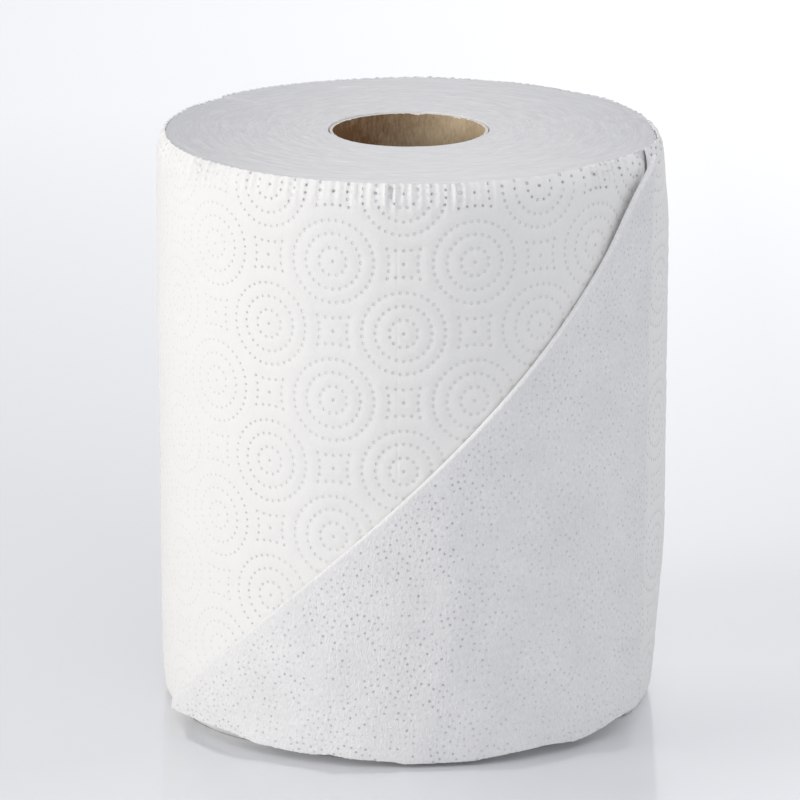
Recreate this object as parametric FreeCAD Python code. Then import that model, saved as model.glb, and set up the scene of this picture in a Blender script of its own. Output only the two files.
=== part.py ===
import FreeCAD, Part
import math
import os

# Paper towel roll: a paper web wound on a cardboard core, with the loose end folded back over the roll.
# Millimetres. The roll stands on its base: +Z is the axis of the core, and the origin is on it at the base.
# Angles round the roll are in degrees from the front (-Y) towards the right (+X).

# Wound roll
roll_radius = 99.0
roll_height = 230.0
top_shoulder_inset = 3.0
top_shoulder_drop = 9.0
foot_inset = 2.5
foot_rise = 5.0

# Cardboard core
core_bore_radius = 30.0
core_wall = 1.2
core_fit = 0.1
core_recess = 0.8

# Turns shown on both ends
shown_turns = 5
turn_groove_width = 1.2
turn_groove_depth = 0.8
turn_groove_overcut = 0.2
turn_margin = 6.0

# Fold of the loose end: arcs are measured round the wall from the front
fold_foot_arc = -118.5
fold_foot_height = 1.5
fold_slope = 44.4
fold_bow = 8.5
fold_tip_drop = 1.0
fold_tip_blunt = 1.5
fold_space_depth = 10.0
fold_space_reach = 20.0
folded_thickness = 1.6
folded_embed = 0.6
folded_overrun = 20.0
free_edge_lean = 6.0
pocket_gap = 2.6
crease_section_count = 11

# Slack of the last turn, which stands off as an off-centre barrel on the right-hand side
slack_lift = 3.9
slack_offset = 7.0
slack_sink = 1.0
slack_angle = 105.0
slack_above_foot = 12.0
slack_foot_taper = 58.0
slack_top_taper = 51.0
slack_below_top = 4.0

# Worked out from the sizes above
core_outer_radius = core_bore_radius + core_wall
paper_bore_radius = core_outer_radius + core_fit
tip_height = roll_height - fold_tip_drop


def place(angle, radius, height):
    """The point at an angle round the roll, from the front towards the right."""
    turn = math.radians(angle)
    return FreeCAD.Vector(radius * math.sin(turn), -radius * math.cos(turn), height)


def round_radius(inset, length):
    """The radius of an arc that leaves the wall along it and comes in by inset over length."""
    return (inset * inset + length * length) / (2.0 * inset)


def crease_angle(height):
    """Where the diagonal fold crosses a height: a straight fold at fold_slope with a slight bow."""
    climb = height - fold_foot_height
    share = climb / (tip_height - fold_foot_height)
    arc = fold_foot_arc + climb / math.tan(math.radians(fold_slope)) + 4.0 * fold_bow * share * (1.0 - share)
    return math.degrees(arc / roll_radius)


def free_edge_angle(height):
    """Where the folded sheet ends on the right: below the fold's tip, leaning back a little to the foot."""
    share = (tip_height - height) / (tip_height - fold_foot_height)
    return crease_angle(tip_height) - math.degrees(share * free_edge_lean / roll_radius)


def spread(low, high, count):
    """Evenly spaced values from low to high."""
    return [low + (high - low) * step / (count - 1) for step in range(count)]


def fold_section(height):
    """A plan section of the space between the crease and the free edge, across the wall."""
    angles = spread(crease_angle(height), free_edge_angle(height), 3)
    outer = [place(angle, roll_radius + fold_space_reach, height) for angle in angles]
    inner = [place(angle, roll_radius - fold_space_depth, height) for angle in angles]
    edges = [
        Part.Arc(*outer).toShape(),
        Part.LineSegment(outer[-1], inner[-1]).toShape(),
        Part.Arc(*inner[::-1]).toShape(),
        Part.LineSegment(inner[0], outer[0]).toShape(),
    ]
    return Part.Wire(edges)


def folded_sheet():
    """The end of the web, folded outwards: a sleeve leaning off the roll, from the crease to the free edge."""
    heights = spread(fold_foot_height, tip_height - fold_tip_blunt, crease_section_count)
    fold_space = Part.makeLoft([fold_section(height) for height in heights], True, False)
    lean = place(crease_angle(tip_height), pocket_gap + folded_embed, tip_height)
    length = lean.Length + 2.0 * folded_overrun
    foot = lean * (-folded_overrun / lean.Length)
    sleeve = Part.makeCylinder(roll_radius + folded_thickness, length, foot, lean)
    sleeve = sleeve.cut(Part.makeCylinder(roll_radius - folded_embed, length, foot, lean))
    return sleeve.common(fold_space)


def slack_turn():
    """The loose stretch of the last turn, from behind the fold round the right-hand side."""
    axis = place(slack_angle, slack_offset, 0.0)
    full = roll_radius + slack_lift - slack_offset
    tight = full - slack_lift - slack_sink
    low = slack_above_foot
    high = roll_height - slack_below_top
    profile = [
        (0.0, low),
        (tight, low),
        (full, low + slack_foot_taper),
        (full, high - slack_top_taper),
        (tight, high),
        (0.0, high),
        (0.0, low),
    ]
    corners = [axis + FreeCAD.Vector(radius, 0.0, height) for radius, height in profile]
    barrel = Part.Face(Part.makePolygon(corners)).revolve(axis, FreeCAD.Vector(0, 0, 1), 360.0)
    inside = Part.makeCylinder(roll_radius - slack_offset, roll_height)
    return barrel.cut(inside)


def edge_arc(inset, length, height, way):
    """The rounded edge from the wall to an end face, in three points: way is 1 at the top, -1 at the foot."""
    radius = round_radius(inset, length)
    centre_x = roll_radius - radius
    centre_z = height - way * length
    half = 0.5 * math.asin(length / radius)
    start = FreeCAD.Vector(roll_radius, 0.0, centre_z)
    middle = FreeCAD.Vector(centre_x + radius * math.cos(half), 0.0, centre_z + way * radius * math.sin(half))
    end = FreeCAD.Vector(roll_radius - inset, 0.0, height)
    return start, middle, end


def wound_body():
    """The wound web as a ring with a rounded shoulder and foot."""
    top_start, top_middle, top_end = edge_arc(top_shoulder_inset, top_shoulder_drop, roll_height, 1.0)
    foot_start, foot_middle, foot_end = edge_arc(foot_inset, foot_rise, 0.0, -1.0)
    inner_foot = FreeCAD.Vector(paper_bore_radius, 0.0, 0.0)
    inner_top = FreeCAD.Vector(paper_bore_radius, 0.0, roll_height)
    profile = Part.Wire(
        [
            Part.LineSegment(inner_foot, foot_end).toShape(),
            Part.Arc(foot_end, foot_middle, foot_start).toShape(),
            Part.LineSegment(foot_start, top_start).toShape(),
            Part.Arc(top_start, top_middle, top_end).toShape(),
            Part.LineSegment(top_end, inner_top).toShape(),
            Part.LineSegment(inner_top, inner_foot).toShape(),
        ]
    )
    return Part.Face(profile).revolve(FreeCAD.Vector(), FreeCAD.Vector(0, 0, 1), 360.0)


def turn_groove(height, way):
    """The spiral step between turns on one end: half turns about two centres, each wider than the last."""
    first = paper_bore_radius + turn_margin
    last = roll_radius - top_shoulder_inset - turn_margin
    shift = (last - first) / (2.0 * shown_turns)
    flare = 0.5 * turn_groove_width * (turn_groove_depth + turn_groove_overcut) / turn_groove_depth
    halves = []
    for half in range(2 * shown_turns):
        right_way = half % 2 == 0
        centre = FreeCAD.Vector(0.0 if right_way else shift, 0.0, 0.0)
        radius = first + shift * half
        middle = centre.x + (radius if right_way else -radius)
        corners = [
            FreeCAD.Vector(middle - flare, 0.0, height + way * turn_groove_overcut),
            FreeCAD.Vector(middle + flare, 0.0, height + way * turn_groove_overcut),
            FreeCAD.Vector(middle, 0.0, height - way * turn_groove_depth),
        ]
        profile = Part.Face(Part.makePolygon(corners + corners[:1]))
        halves.append(profile.revolve(centre, FreeCAD.Vector(0, 0, 1), 180.0))
    return halves


def paper_roll():
    """The whole web as one solid: wound body, slack last turn, folded end and the turns on both ends."""
    roll = wound_body().fuse([slack_turn(), folded_sheet()])
    grooves = turn_groove(roll_height, 1.0) + turn_groove(0.0, -1.0)
    return roll.cut(grooves)


def cardboard_core():
    """The wound board tube, a little short of the paper at both ends."""
    foot = FreeCAD.Vector(0.0, 0.0, core_recess)
    length = roll_height - 2.0 * core_recess
    tube = Part.makeCylinder(core_outer_radius, length, foot)
    return tube.cut(Part.makeCylinder(core_bore_radius, length, foot))


os.makedirs("parts", exist_ok=True)
for name, make in (("paper_roll", paper_roll), ("cardboard_core", cardboard_core)):
    shape = make()
    print(name, len(shape.Solids), "solid", round(shape.Volume), "cubic mm, valid:", shape.isValid())
    shape.exportStep(f"parts/{name}.step")
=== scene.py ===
import math

import bmesh
import bpy
import numpy as np
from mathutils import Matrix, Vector
from mathutils.geometry import delaunay_2d_cdt


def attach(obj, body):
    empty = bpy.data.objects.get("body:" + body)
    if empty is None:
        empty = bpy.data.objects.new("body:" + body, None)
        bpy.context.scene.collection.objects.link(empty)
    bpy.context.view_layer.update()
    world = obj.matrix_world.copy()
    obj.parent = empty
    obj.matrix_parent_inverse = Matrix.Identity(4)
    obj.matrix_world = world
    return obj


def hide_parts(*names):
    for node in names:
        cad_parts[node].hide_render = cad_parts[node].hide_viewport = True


# Paper towel roll. Shapes are worked out in millimetres and made in metres.
# The web is laid out flat first: "along" runs round the roll from the front towards the right, and "up" is
# the height. Angles round the roll are from the front (-Y) towards the right (+X).

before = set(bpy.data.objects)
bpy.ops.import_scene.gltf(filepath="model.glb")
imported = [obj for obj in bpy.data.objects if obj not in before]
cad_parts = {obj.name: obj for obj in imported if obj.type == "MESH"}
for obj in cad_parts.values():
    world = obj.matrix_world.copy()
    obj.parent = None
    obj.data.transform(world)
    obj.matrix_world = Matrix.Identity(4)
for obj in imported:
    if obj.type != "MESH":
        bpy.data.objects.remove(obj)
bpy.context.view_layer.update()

MM = 0.001

# Wound roll
ROLL_RADIUS = 99.0
ROLL_HEIGHT = 230.0
SHOULDER_INSET = 3.0
SHOULDER_DROP = 9.0
FOOT_INSET = 2.5
FOOT_RISE = 5.0
TURN_LENGTH = 2.0 * math.pi * ROLL_RADIUS
WEB_THICKNESS = 0.6
PERFORATION_ALONG = -4.3
PERFORATION_DEPTH = 0.1
TOWEL_LENGTH = 240.0
SEAM_FOOT = 113.0
SEAM_TOP = 116.0

# Unevenness of the wall, its rim and its slack
WALL_WAVE = 0.14
WALL_PUCKER = 0.05
RIM_FLUTE = 0.62
EDGE_NIBBLE = 0.1
SLACK_LIFT = 3.9
FOOT_TUCK = 3.6

# Emboss: rings of dots and small squares of dots, turn and turn about
EMBOSS_ALONG = -1.9
EMBOSS_UP = 172.4
EMBOSS_STEP_ALONG = 27.2
EMBOSS_STEP_UP = 27.1
SQUARE_CELL = 8.0
CIRCLE_RINGS = [(5.4, 12, 15.0), (10.8, 24, 0.0), (16.0, 36, 5.0)]
REVERSE_RINGS = 7
REVERSE_RING_STEP = 2.58
REVERSE_ALONG = -1.4
REVERSE_UP = EMBOSS_UP + EMBOSS_STEP_UP

# A dot sinks the web by depth, in a dish of skirt by skirt_width; least is the weakest dot's strength,
# and raised is the share of dots that stand out on this side
DOT = {
    "radius": 0.82,
    "depth": 0.68,
    "skirt": 0.28,
    "skirt_width": 1.9,
    "least": 0.85,
    "raised": 0.0,
}
REVERSE_DOT = {
    "radius": 0.8,
    "depth": 0.5,
    "skirt": 0.07,
    "skirt_width": 1.5,
    "least": 0.3,
    "raised": 0.4,
}
RAISED_STRENGTH = -0.8

# Fineness of the flat web: sides of a dot, parts of a cell's border, and spacing of the points between.
# The layers go with the points of the flat mesh, after their places and their sink.
DOT_SIDES = 6
BORDER_PARTS = 6
BLANK_STEP = 3.0
PLAIN_STEP = 5.0
RIM_BAND_LOW = 217.0
RIM_BAND_STEP = 1.25
BACK_STEP = 6.0
JOINS_PER_MM = 40.0
RIM_CLEAR = 1.6
WEB_UV_PER_MM = 0.01
# The last layer is the share of painted shade in the hollows of the sunk dots.
WEB_LAYERS = ("lean_along", "lean_up", "painted_dot_shade")

# Fold of the loose end
FOLD_FOOT_ALONG = -118.5
FOLD_FOOT_UP = 1.5
FOLD_TIP_UP = 229.0
FOLD_SLOPE = math.radians(44.4)
FOLD_BOW = 9.0
FOLD_TOP_BEND = 3.0
FOLD_TIP_BEND = 3.5
FOLD_RADIUS = 1.0
FOLD_CORNER_ALONG = -111.5
FOLD_POCKET = 1.9
CORNER_FLICK = 2.4
UNDERLAP = 26.0
FREE_EDGE_LEAN = 6.0

# Core
CORE_BORE = 30.0
CORE_OUTER = 31.2
CORE_RECESS = 0.8
CORE_SEGMENTS = 420
STRIP_CLIMB = 96.0
PAPER_BORE = 31.3

# Wound turns inside the last one
TURN_SEGMENTS = 720
TURN_STEP = 0.85
TURNS_GAP = 0.45
TURNS_TOP = ROLL_HEIGHT - 0.3
TURNS_FOOT = 0.35
TOP_BORE = PAPER_BORE + 0.6
TOP_RIM_RADIUS = ROLL_RADIUS - SHOULDER_INSET - WEB_THICKNESS - 0.1

FOLD_RUN = (FOLD_TIP_UP - FOLD_FOOT_UP) / math.tan(FOLD_SLOPE)
FOLD_TIP_ALONG = FOLD_FOOT_ALONG + FOLD_RUN
CREASE_WAY = np.array([math.cos(FOLD_SLOPE), math.sin(FOLD_SLOPE)])
CREASE_SIDE = np.array([math.sin(FOLD_SLOPE), -math.cos(FOLD_SLOPE)])
CREASE_FOOT = np.array([FOLD_FOOT_ALONG, FOLD_FOOT_UP])

perforations = [PERFORATION_ALONG - TOWEL_LENGTH * number for number in range(3)]


# Smooth helpers

def ease(value, low, high):
    """0 below low, 1 above high, and smooth between."""
    share = np.clip((value - low) / (high - low), 0.0, 1.0)
    return share * share * (3.0 - 2.0 * share)


def plateau(value, start, full, past, end):
    """Smooth from 0 at start to 1 at full, and from 1 at past to 0 at end."""
    return ease(value, start, full) * (1.0 - ease(value, past, end))


def hump(value, centre, width):
    """A smooth bump of height 1."""
    return np.exp(-(((value - centre) / width) ** 2))


def round_waves(seed, count, fewest, most, tallest):
    """Gentle unevenness that closes round the roll: sine waves over the angle and the height."""
    draw = np.random.default_rng(seed)
    waves = []
    for _ in range(count):
        round_count = int(draw.integers(fewest, most + 1))
        climb = draw.normal(0.0, 1.0) / tallest
        waves.append((round_count, climb, draw.uniform(0.0, 2.0 * math.pi), draw.uniform(0.5, 1.0)))
    scale = 1.0 / math.sqrt(count)

    def unevenness(angle, up):
        total = np.zeros(np.broadcast(angle, up).shape)
        for round_count, climb, start, size in waves:
            total = total + size * np.sin(round_count * angle + 2.0 * math.pi * climb * up + start)
        return total * scale

    return unevenness


wall_unevenness = round_waves(11, 9, 3, 17, 150.0)
wall_pucker = round_waves(12, 12, 18, 60, 60.0)
rim_flutes = round_waves(13, 14, 110, 210, 400.0)
rim_patches = round_waves(14, 8, 3, 16, 400.0)
edge_nibble = round_waves(15, 16, 60, 320, 400.0)
fold_unevenness = round_waves(16, 10, 6, 30, 90.0)


# Shape of the wall and the fold

def degrees_round(angle):
    """Degrees round the roll from the front, counted on from the left of the back to the right."""
    degrees = np.degrees(angle)
    return np.where(degrees < -180.0, degrees + 360.0, degrees)


def end_inset(up):
    """How far the wall comes in over the shoulder and over the foot."""
    top_radius = (SHOULDER_INSET ** 2 + SHOULDER_DROP ** 2) / (2.0 * SHOULDER_INSET)
    top = np.clip(up - (ROLL_HEIGHT - SHOULDER_DROP), 0.0, SHOULDER_DROP + 0.6)
    foot_radius = (FOOT_INSET ** 2 + FOOT_RISE ** 2) / (2.0 * FOOT_INSET)
    foot = np.clip(FOOT_RISE - up, 0.0, FOOT_RISE)
    top_inset = top_radius - np.sqrt(top_radius ** 2 - top ** 2)
    return top_inset + foot_radius - np.sqrt(foot_radius ** 2 - foot ** 2)


def slack(angle, up):
    """How far the loose stretch of the last turn stands off on the right-hand side."""
    degrees = degrees_round(angle)
    return SLACK_LIFT * plateau(degrees, 48.0, 97.0, 108.0, 174.0) * plateau(up, 8.0, 75.0, 188.0, 238.0)


def handled_shape(angle, up):
    """Slight swells of the left-hand side, and the foot tucked in on both sides."""
    degrees = degrees_round(angle)
    left = hump(degrees, -95.0, 45.0)
    right = hump(degrees, 92.0, 38.0)
    swell = 0.3 * hump(up, 45.0, 45.0) + 0.45 * plateau(up, 90.0, 150.0, 200.0, 230.0)
    tuck = (1.5 * left + 2.4 * right) * np.exp(-np.maximum(up, 0.0) / 8.0)
    return left * swell - tuck


def rim_rise(angle):
    """How far the turns' edges stand up on the top: softly uneven, with small steps at the back."""
    degrees = degrees_round(angle)
    left_step = plateau(degrees, -129.2, -128.0, -128.0, -96.0)
    right_step = plateau(degrees, 88.0, 103.0, 103.0, 104.5)
    lump = hump(degrees, -114.0, 4.0)
    return 0.22 * rim_patches(angle, 0.0) - 0.7 * left_step - 0.8 * right_step + 0.3 * lump


def rim_flute(angle, up):
    """Fine upright flutes along the top edge."""
    patches = np.clip(1.05 + 0.45 * rim_patches(angle, up), 0.75, 1.35)
    return RIM_FLUTE * ease(up, 217.0, ROLL_HEIGHT) * rim_flutes(angle, up) * patches


def foot_tuck(angle, up):
    """Behind the folded end's lower edge the foot of the wound web is drawn in."""
    degrees = degrees_round(angle)
    covered = plateau(degrees, -60.0, -34.0, 60.0, 68.0)
    return FOOT_TUCK * covered * (1.0 - ease(up, 1.0, 9.0))


def wound_radius(angle, up):
    """The wall without its slack."""
    uneven = WALL_WAVE * wall_unevenness(angle, up) + WALL_PUCKER * wall_pucker(angle, up)
    drawn_in = end_inset(up) + foot_tuck(angle, up)
    return ROLL_RADIUS - drawn_in + handled_shape(angle, up) + uneven + rim_flute(angle, up)


def place(angle, radius, up):
    """Points round the roll."""
    return np.stack([radius * np.sin(angle), -radius * np.cos(angle), up], axis=-1)


def near_tip(angle, up):
    """Below the fold's tip the loose turn has no shoulder and stands off a little."""
    degrees = degrees_round(angle)
    top_inset = end_inset(up) * ease(up, 120.0, 160.0)
    return plateau(degrees, 62.0, 71.0, 73.0, 93.0) * (top_inset * 0.85 + 1.3 * ease(up, 180.0, 228.0))


def last_turn_surface(along, up):
    """The outer face of the last turn."""
    angle = along / ROLL_RADIUS
    loose = np.where(angle < -math.pi, 1.0, 0.0)
    radius = wound_radius(angle, up) + loose * (slack(angle, up) + near_tip(angle, up))
    patchy = 0.55 + 0.45 * np.sin(0.21 * up + 0.9) * np.sin(0.047 * up + 2.0)
    for perforation in perforations:
        radius = radius - PERFORATION_DEPTH * hump(along, perforation, 0.3) * patchy
    nibble = EDGE_NIBBLE * edge_nibble(angle, up)
    lip = loose * 0.9 * hump(degrees_round(angle), 76.0, 13.0)
    top_edge = ease(up, 205.0, ROLL_HEIGHT) * (rim_rise(angle) + nibble + lip)
    foot_edge = (1.0 - ease(up, 0.0, 20.0)) * (0.25 + nibble)
    return place(angle, radius, up + top_edge + foot_edge)


def crease_distance(along, up):
    """Distance across the crease, positive on the folded side, and distance up along it."""
    off = np.stack([along - FOLD_FOOT_ALONG, up - FOLD_FOOT_UP], axis=-1)
    return off @ CREASE_SIDE, off @ CREASE_WAY


def fold_lift(angle, up, from_crease):
    """How far the folded end stands off the wall."""
    pocket = FOLD_POCKET * ease(up, 180.0, 222.0) * hump(from_crease, 0.0, 20.0)
    corner = np.hypot(angle * ROLL_RADIUS - FOLD_CORNER_ALONG, up - 5.0)
    flick = CORNER_FLICK * hump(corner, 0.0, 12.0)
    foot_flare = 1.2 * ease(np.degrees(angle), 38.0, 58.0) * hump(up, 0.0, 22.0)
    uneven = 0.28 * fold_unevenness(angle, up) * ease(from_crease, 3.0, 30.0)
    return pocket + flick + foot_flare + uneven + slack(angle, up) + 0.2


# The folded end's lower edge from left to right, as (along, height)
LOWER_EDGE = [
    (-118, 5.1), (-106, 4.9), (-96, 4.7), (-80, 5.0), (-73, 4.9), (-61, 3.3), (-45, 2.9), (-37, 2.8),
    (-30, 3.6), (-24, 2.9), (-6, 1.9), (-2, 1.2), (24, 1.5), (31, 2.3), (40, 3.1), (57, 3.7),
    (69, 2.9), (75, 3.4), (82, 4.6), (89, 6.4), (98, 7.2), (107, 8.3), (116, 9.4),
]


def torn_edge(along):
    """Height of the folded end's lower edge."""
    places, heights = zip(*LOWER_EDGE)
    return np.interp(along, places, heights) + 0.16 * edge_nibble(along / ROLL_RADIUS, 0.0)


def folded_end_surface(along, up):
    """The middle of the folded sheet: under the fold, round the crease and out over it."""
    across, climb = crease_distance(along, up)
    half = 0.5 * math.pi * FOLD_RADIUS
    bend = np.clip(across / FOLD_RADIUS, -0.5 * math.pi, 0.5 * math.pi)
    beyond = np.maximum(np.abs(across) - half, 0.0)
    from_crease = FOLD_RADIUS * (1.0 - np.cos(bend)) + beyond
    raised = FOLD_RADIUS * np.sin(bend)
    laid = CREASE_FOOT + climb[..., None] * CREASE_WAY + from_crease[..., None] * CREASE_SIDE
    lay_along, lay_up = laid[..., 0], laid[..., 1]
    share = (lay_up - FOLD_FOOT_UP) / (FOLD_TIP_UP - FOLD_FOOT_UP)
    crease_along = FOLD_FOOT_ALONG + (lay_up - FOLD_FOOT_UP) / math.tan(FOLD_SLOPE)
    reach = np.clip((lay_along - crease_along) / np.maximum(FOLD_TIP_ALONG - crease_along, 6.0), 0.0, 1.0)
    shift = 4.0 * FOLD_BOW * np.clip(share * (1.0 - share), 0.0, 1.0)
    shift = shift - FOLD_TOP_BEND * hump(lay_up, 212.0, 13.0) + FOLD_TIP_BEND * ease(lay_up, 216.0, 228.0)
    lay_along = lay_along + shift * (1.0 - reach)
    lower = np.exp(-np.maximum(lay_up - FOLD_FOOT_UP, 0.0) / 14.0)
    lay_up = lay_up + lower * (torn_edge(lay_along) - FOLD_FOOT_UP)
    angle = lay_along / ROLL_RADIUS
    shoulder = 0.25 * end_inset(np.minimum(lay_up, ROLL_HEIGHT))
    shoulder = np.where(lay_up < 50.0, 0.35 * end_inset(lay_up), shoulder)
    uneven = WALL_WAVE * wall_unevenness(angle, lay_up)
    wall = ROLL_RADIUS - shoulder + handled_shape(angle, lay_up) + uneven
    radius = wall + fold_lift(angle, lay_up, from_crease) + WEB_THICKNESS + FOLD_RADIUS + raised
    return place(angle, radius, lay_up)


# Flat cells of the emboss

def ring_of_dots(radius, count, start):
    """Evenly spaced dots on a ring; start is the first one's angle in degrees."""
    turns = np.radians(start) + np.arange(count) * 2.0 * math.pi / count
    return [(radius * math.cos(turn), radius * math.sin(turn)) for turn in turns]


def circle_dots():
    """One middle dot and three rings."""
    dots = [(0.0, 0.0)]
    for radius, count, start in CIRCLE_RINGS:
        dots += ring_of_dots(radius, count, start)
    return dots


def square_dots():
    """One middle dot and a square of sixteen, its sides drawn in a little."""
    side = [(-6.3, -5.8), (-3.0, -5.3), (0.0, -5.1), (3.0, -5.3)]
    upright = [(6.3, -5.8), (5.7, -2.8), (5.5, 0.0), (5.7, 2.8)]
    dots = [(0.0, 0.0)]
    for x, y in side + upright:
        dots += [(x, y), (-x, -y)]
    return dots


def reverse_circle_dots():
    """The reverse side shows both plies: the same rings with more between and round them."""
    dots = [(0.0, 0.0)]
    for number in range(1, REVERSE_RINGS + 1):
        dots += ring_of_dots(REVERSE_RING_STEP * number, 6 * number, 11.0 * number)
    return dots


def reverse_square_dots():
    """The square again, with eight more dots inside it."""
    inner = [(-2.9, -2.7), (0.0, -2.6), (2.9, -2.7), (2.8, 0.0)]
    dots = square_dots()
    for x, y in inner:
        dots += [(x, y), (-x, -y)]
    return dots


def circle_outline():
    """The eight-sided cell of a circle, between the squares round it."""
    far_along = EMBOSS_STEP_ALONG - SQUARE_CELL
    far_up = EMBOSS_STEP_UP - SQUARE_CELL
    near = SQUARE_CELL
    corners = [(far_along, -near), (far_along, near), (near, far_up), (-near, far_up)]
    return corners + [(-x, -y) for x, y in corners]


def square_outline():
    """The square cell between four circles."""
    near = SQUARE_CELL
    return [(near, -near), (near, near), (-near, near), (-near, -near)]


def border_points(outline):
    """The outline's corners with evenly spaced points between, the same from both sides of a border."""
    points = []
    for start, end in zip(outline, outline[1:] + outline[:1]):
        for part in range(BORDER_PARTS):
            share = part / BORDER_PARTS
            points.append((start[0] + (end[0] - start[0]) * share, start[1] + (end[1] - start[1]) * share))
    return points


def blank_points(outline, dots, step, band, clear):
    """Points on the plain paper between the dots; band is (low, high, step) where they lie closer."""
    reach_along = max(x for x, y in outline)
    reach_up = max(y for x, y in outline)
    found = []

    def try_rows(step, low, high):
        for row, y in enumerate(np.arange(low + 0.5 * step, high, step)):
            for x in np.arange(-reach_along + (0.5 + 0.5 * (row % 2)) * step, reach_along, step):
                inside = all(
                    (end[0] - start[0]) * (y - start[1]) - (end[1] - start[1]) * (x - start[0])
                    > 0.9 * math.dist(start, end)
                    for start, end in zip(outline, outline[1:] + outline[:1])
                )
                if inside and all(math.hypot(x - a, y - b) > clear for a, b in dots):
                    found.append((x, y))

    if band is None:
        try_rows(step, -reach_up, reach_up)
    else:
        low, high, fine = band
        try_rows(step, -reach_up, low)
        try_rows(fine, max(low, -reach_up), min(high, reach_up))
        try_rows(step, high, reach_up)
    return found


def press(points, dots, strengths, dot):
    """How far the emboss sinks the web at each point, its slope there, and the share of painted shade in each
    sunk dot's hollow.
    """
    sink = np.zeros(len(points))
    lean = np.zeros((len(points), 2))
    painted_dot_shade = np.zeros(len(points))
    for (x, y), strength in zip(dots, strengths):
        off = points - np.array([x, y])
        away = np.maximum(np.linalg.norm(off, axis=1), 1e-9)
        share = np.clip(away / dot["radius"], 0.0, 1.0)
        inside = 1.0 - share ** 2
        sink -= strength * dot["depth"] * inside ** 2
        slope = strength * dot["depth"] * 4.0 * share * inside / dot["radius"]
        skirt = dot["skirt"] * np.exp(-((away / dot["skirt_width"]) ** 2))
        sink -= skirt
        slope += skirt * 2.0 * away / dot["skirt_width"] ** 2
        lean += off / away[:, None] * slope[:, None]
        # Painted shade: each sunk dot darkens its hollow, most at its centre; raised dots add none.
        painted_dot_shade = np.maximum(painted_dot_shade, strength * inside ** 3)
    return np.column_stack([sink, lean, painted_dot_shade])


def make_cell(outline, dots, around, dot, blank_step, band=None):
    """One flat cell: points of (along, up, sink, lean along, lean up, painted dot shade), and triangles."""
    draw = np.random.default_rng(len(dots))
    strengths = draw.uniform(dot["least"], 1.0, len(dots))
    stands_out = draw.uniform(size=len(dots)) < dot["raised"]
    strengths = np.where(stands_out, RAISED_STRENGTH * strengths, strengths)
    points = border_points(outline)
    border_count = len(points)
    radius = dot["radius"]
    for number, (x, y) in enumerate(dots):
        points.append((x, y))
        for side in range(DOT_SIDES):
            turn = math.radians(360.0 / DOT_SIDES * side + 17.0 * number)
            for share in (0.5, 1.0):
                points.append((x + share * radius * math.cos(turn), y + share * radius * math.sin(turn)))
    points += blank_points(outline, dots, blank_step, band, radius + 0.7)
    edges = [(number, (number + 1) % border_count) for number in range(border_count)]
    made, _, faces, _, _, _ = delaunay_2d_cdt([Vector(point) for point in points], edges, [], 1, 1e-6)
    flat = np.array([point[:] for point in made])
    all_dots = dots + around
    all_strengths = np.concatenate([strengths, np.ones(len(around))])
    return np.hstack([flat, press(flat, all_dots, all_strengths, dot)]), np.array(faces, dtype=int)


def neighbours(dots):
    """The same dots one step to each side, above and below."""
    steps = [
        (EMBOSS_STEP_ALONG, 0.0),
        (-EMBOSS_STEP_ALONG, 0.0),
        (0.0, EMBOSS_STEP_UP),
        (0.0, -EMBOSS_STEP_UP),
    ]
    return [(x + step_x, y + step_y) for step_x, step_y in steps for x, y in dots]


def lay_cells(origin, low_along, high_along, low_up, high_up, choose):
    """Copies of the cells over a stretch of web, in steps from an origin; choose picks each one."""
    tables, triangles, count = [], [], 0
    first = math.floor((low_along - origin[0]) / EMBOSS_STEP_ALONG) - 1
    last = math.ceil((high_along - origin[0]) / EMBOSS_STEP_ALONG) + 1
    lowest = math.floor((low_up - origin[1]) / EMBOSS_STEP_UP) - 1
    highest = math.ceil((high_up - origin[1]) / EMBOSS_STEP_UP) + 1
    for column in range(first, last + 1):
        for row in range(lowest, highest + 1):
            along = origin[0] + EMBOSS_STEP_ALONG * column
            up = origin[1] + EMBOSS_STEP_UP * row
            reach = SQUARE_CELL if (column + row) % 2 else EMBOSS_STEP_ALONG - SQUARE_CELL
            if along + reach < low_along or along - reach > high_along:
                continue
            if up + reach < low_up or up - reach > high_up:
                continue
            table, faces = choose((column + row) % 2 == 1, along, up)
            tables.append(table + np.array([along, up, 0.0, 0.0, 0.0, 0.0]))
            triangles.append(faces + count)
            count += len(table)
    return np.vstack(tables), np.vstack(triangles)


def join_cells(table, triangles):
    """One flat mesh from the cells, joined along their borders."""
    keys = np.round(table[:, :2] * JOINS_PER_MM).astype(np.int64)
    _, first, which = np.unique(keys, axis=0, return_index=True, return_inverse=True)
    which = which.reshape(-1)
    table = table[first]
    triangles = which[triangles]
    distinct = (
        (triangles[:, 0] != triangles[:, 1])
        & (triangles[:, 1] != triangles[:, 2])
        & (triangles[:, 2] != triangles[:, 0])
    )
    return table, triangles[distinct]


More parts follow.
